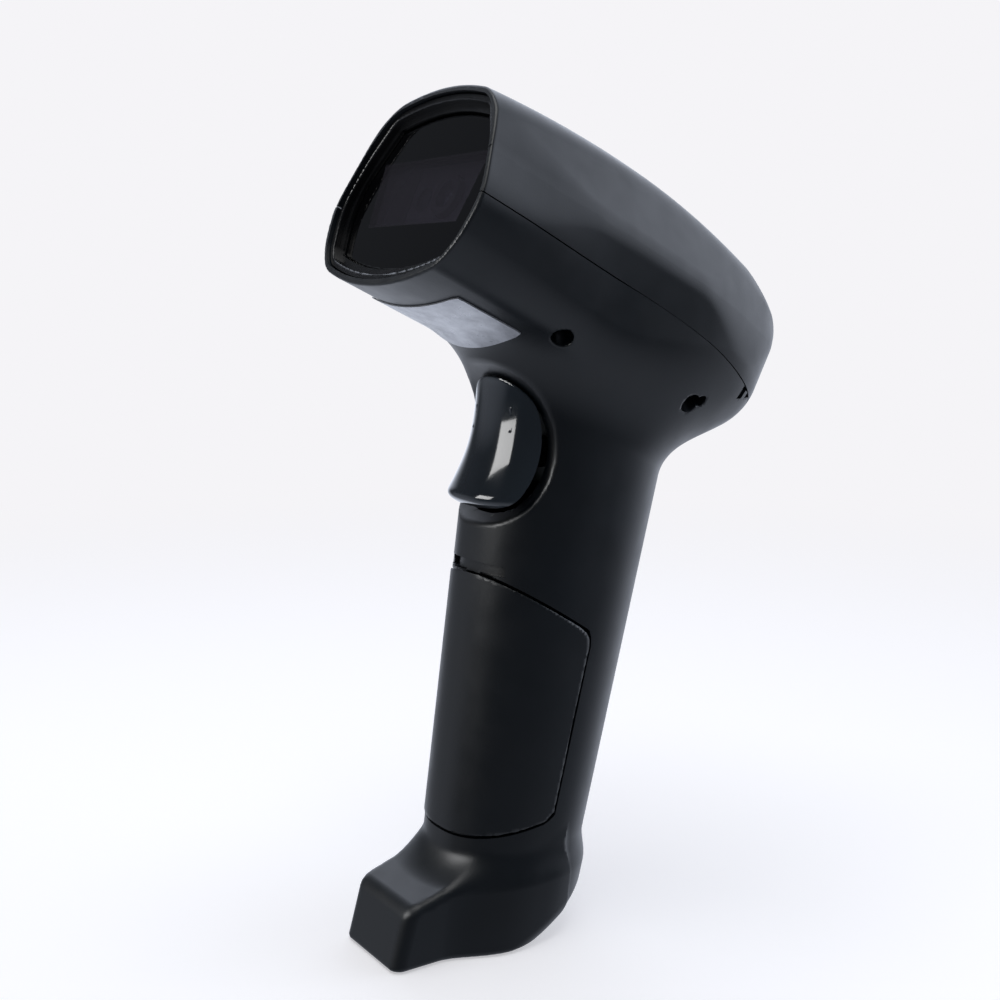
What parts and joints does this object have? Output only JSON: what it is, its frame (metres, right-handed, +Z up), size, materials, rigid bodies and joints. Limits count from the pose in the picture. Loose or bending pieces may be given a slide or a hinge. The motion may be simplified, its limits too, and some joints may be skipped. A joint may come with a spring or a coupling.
{
  "type": "handheld barcode scanner",
  "caption": "Pistol-grip barcode scanner: tilted scanning head with a dark window, a leaning grip with a curved trigger and a battery door, and a small foot.",
  "frame": {"origin": "middle of the flat underside of the foot pad, on the surface that the scanner stands on", "axes": "+Z up, the nose and window point along -Y, +X is the left side of the person who holds it"},
  "size_m": [0.0526, 0.0984, 0.1677],
  "materials": {
    "housing": "fine matte moulded black",
    "bezel": "satin black",
    "trigger": "polished dark slate",
    "window": "dark tinted, polished",
    "label": "satin silver sticker",
    "rubber": "matte",
    "frame_plastic": "moulded grey",
    "engine_metal": "black anodised",
    "lens": "clear",
    "led": "clear cap over phosphor",
    "board": "dark green solder mask",
    "chip": "moulded epoxy",
    "connector": "nylon",
    "steel": "zinc plated",
    "ribbon": "amber film",
    "wrap": "shrink wrap",
    "brass": "gold plated"
  },
  "bodies": {
    "housing": {"top_cover": "housing", "main_body": "housing", "foot_pad": "rubber", "nose_label": "label", "window_bezel": "bezel", "scan_window": "window", "inner_frame": "frame_plastic", "engine_chassis": "engine_metal", "lens_barrel": "chip", "lens_glass": "lens", "aimer_lens": "lens", "flood_led_upper": "led", "flood_led_lower": "led", "image_sensor": "board", "main_board": "board", "board_processor": "chip", "board_connector": "connector", "buzzer": "chip", "status_led": "led", "status_light_pipe": "lens", "board_screw_1": "steel", "board_screw_2": "steel", "board_screw_3": "steel", "board_screw_4": "steel", "cover_screw_1": "steel", "cover_screw_2": "steel", "cover_screw_3": "steel", "cover_screw_4": "steel", "trigger_pin": "steel", "trigger_spring": "steel", "switch_body": "chip", "trigger_board": "board", "ribbon_cable": "ribbon", "battery_pack": "wrap", "contact_plate": "board", "contact_spring_left": "brass", "contact_spring_right": "brass", "charge_port": "steel"},
    "trigger": {"trigger": "trigger"},
    "switch_plunger": {"switch_plunger": "connector"},
    "battery_door": {"battery_door": "housing"}
  },
  "joints": [
    {"name": "trigger_swing", "type": "hinge", "parent": "housing", "child": "trigger", "pos_m": [0, 0.0195, 0.112], "axis": [1, 0, 0], "range_deg": [0, 7], "stiffness_Nm_per_rad": 0.25, "springref_deg": -5.73, "deforming": ["trigger_spring"]},
    {"name": "switch_press", "type": "slide", "parent": "housing", "child": "switch_plunger", "axis": [0, 1, 0], "range_m": [0, 0.0018]},
    {"name": "door_swing", "type": "hinge", "parent": "housing", "child": "battery_door", "pos_m": [0, -0.0005, 0.0205], "axis": [1, 0, 0], "range_deg": [0, 60]}
  ],
  "couplings": [
    {"joint": "switch_press", "follows": "trigger_swing", "m_per_rad": 0.013914}
  ]
}
